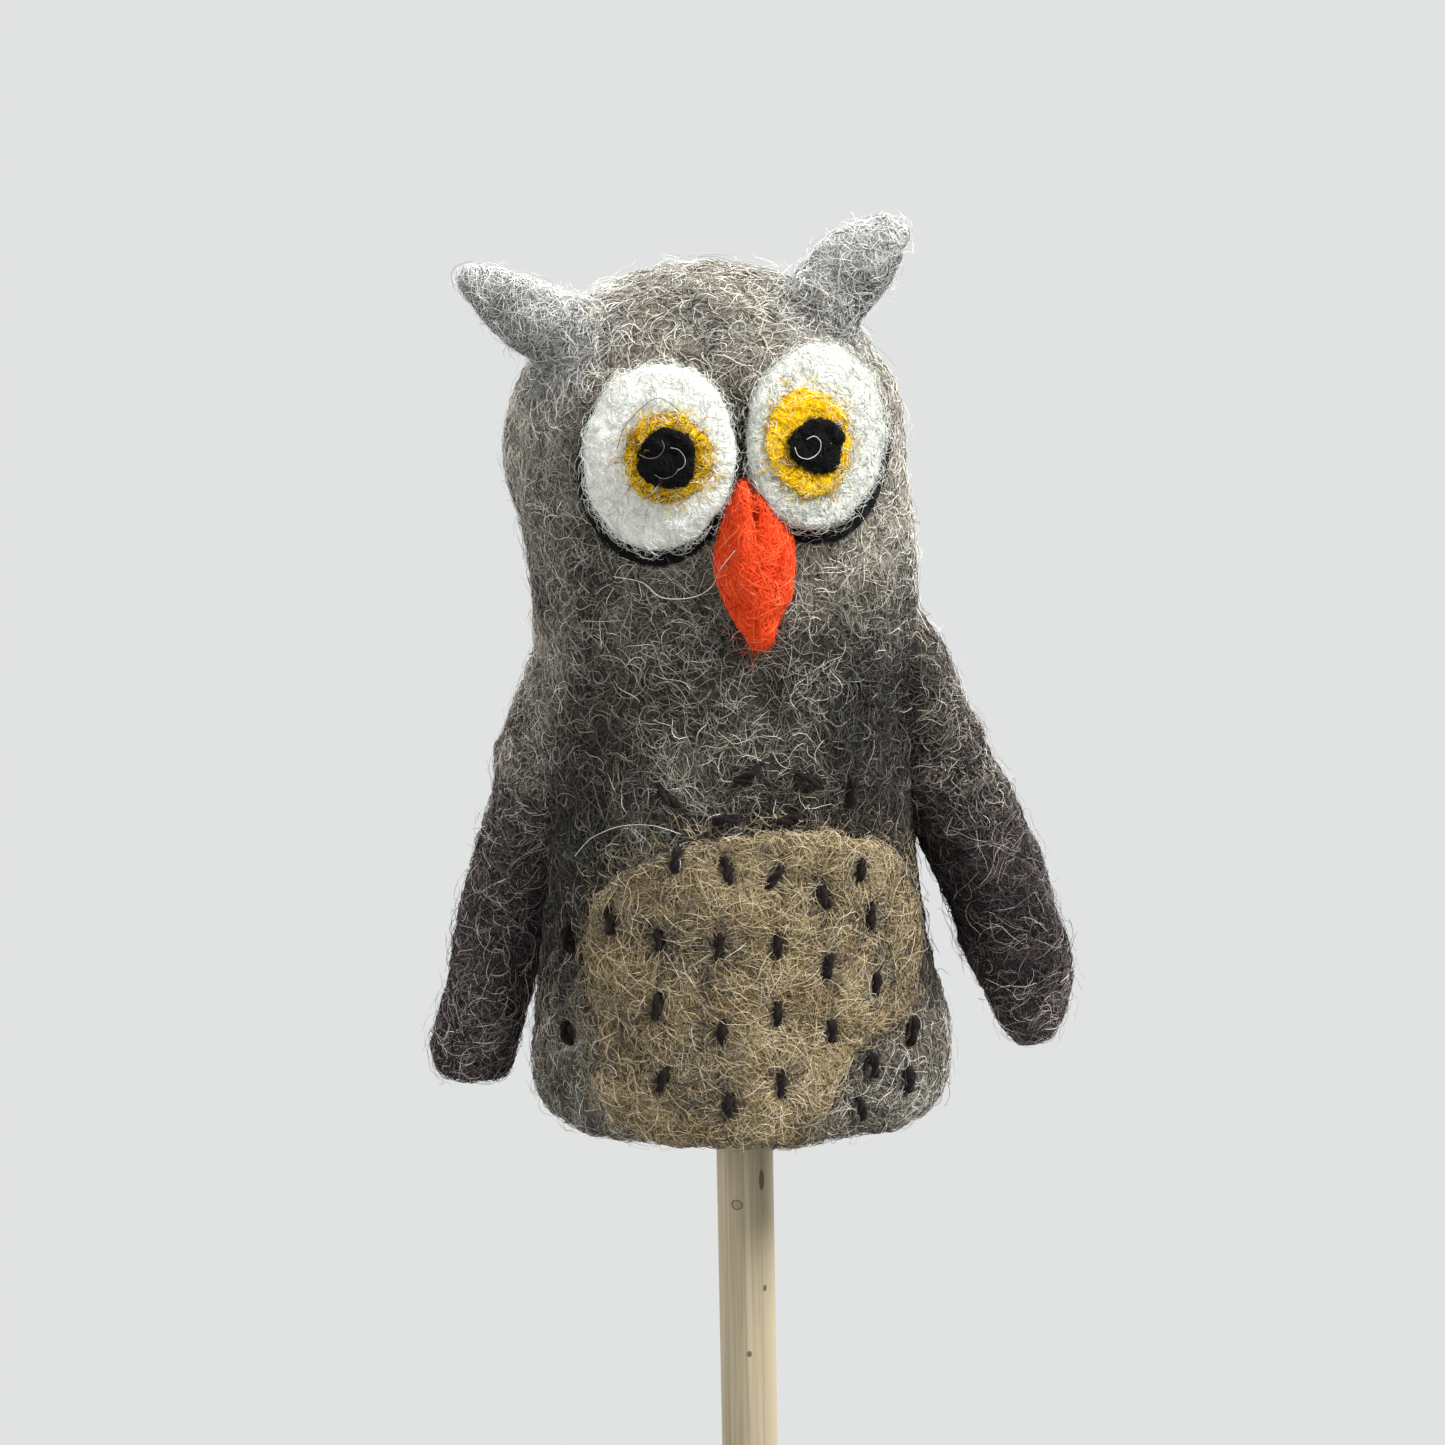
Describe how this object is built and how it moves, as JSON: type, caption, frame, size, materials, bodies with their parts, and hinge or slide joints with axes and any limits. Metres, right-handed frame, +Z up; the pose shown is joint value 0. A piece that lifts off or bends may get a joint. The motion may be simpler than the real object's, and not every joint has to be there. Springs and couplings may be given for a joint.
{
  "type": "felted owl finger puppet on a display stick",
  "caption": "Felted wool owl finger puppet with wings, ear tufts, stacked felt eyes, a beak and a stitched belly patch, on a round wooden display stick.",
  "frame": {"origin": "centre of the display stick's lower end", "axes": "+Z up along the stick, the owl faces -Y, +X is the owl's own left"},
  "size_m": [0.0697, 0.0402, 0.1622],
  "materials": {
    "stick_wood": "bare fine-grained wood, unvarnished, slightly uneven in colour",
    "grey_felt": "matted wool felt, mottled warm grey with paler stray fibres",
    "wing_felt": "matted wool felt, dark purplish brown with paler stray fibres",
    "ear_felt": "matted wool felt, pale grey",
    "stuffing_wool": "loose wool wadding",
    "patch_felt": "felted wool, beige tan with cream fibres",
    "dark_thread": "dark brown wool thread, twisted",
    "beak_wool": "orange-red wool roving, combed lengthwise",
    "rim_felt": "black felt",
    "eye_white_felt": "white felt",
    "iris_wool": "mustard yellow wool, needle-felted",
    "pupil_wool": "black wool, needle-felted"
  },
  "bodies": {
    "stick": {"display_stick": "stick_wood"},
    "torso": {"body_shell": "grey_felt", "belly_patch": "patch_felt", "patch_stitches": "dark_thread", "chest_stitches": "dark_thread", "side_stitches": "dark_thread"},
    "head": {"head_shell": "grey_felt", "head_stuffing": "stuffing_wool", "eye_rim_left": "rim_felt", "eye_white_left": "eye_white_felt", "eye_iris_left": "iris_wool", "eye_pupil_left": "pupil_wool", "eye_rim_right": "rim_felt", "eye_white_right": "eye_white_felt", "eye_iris_right": "iris_wool", "eye_pupil_right": "pupil_wool", "beak_lobe_left": "beak_wool", "beak_lobe_right": "beak_wool"},
    "wing_left": {"wing_left": "wing_felt"},
    "wing_right": {"wing_right": "wing_felt"},
    "ear_left": {"ear_left": "ear_felt"},
    "ear_right": {"ear_right": "ear_felt"}
  },
  "joints": [
    {"name": "lift_off", "type": "slide", "parent": "stick", "child": "torso", "axis": [0, 0, 1], "range_m": [0, 0.063]},
    {"name": "head_nod", "type": "hinge", "parent": "torso", "child": "head", "pos_m": [-0.001, 0, 0.1085], "axis": [1, 0, 0], "range_deg": [-12, 18], "stiffness_Nm_per_rad": 0.02},
    {"name": "wing_raise_left", "type": "hinge", "parent": "torso", "child": "wing_left", "pos_m": [0.0193, 0, 0.109], "axis": [0, -1, 0], "range_deg": [0, 55], "stiffness_Nm_per_rad": 0.003},
    {"name": "wing_raise_right", "type": "hinge", "parent": "torso", "child": "wing_right", "pos_m": [-0.0203, 0, 0.109], "axis": [0, 1, 0], "range_deg": [0, 55], "stiffness_Nm_per_rad": 0.003},
    {"name": "ear_flex_left", "type": "hinge", "parent": "head", "child": "ear_left", "pos_m": [0.009, -0.006, 0.1523], "axis": [0, 1, 0], "range_deg": [-12, 12], "stiffness_Nm_per_rad": 0.002},
    {"name": "ear_flex_right", "type": "hinge", "parent": "head", "child": "ear_right", "pos_m": [-0.0158, -0.008, 0.1496], "axis": [0, 1, 0], "range_deg": [-12, 12], "stiffness_Nm_per_rad": 0.002}
  ]
}
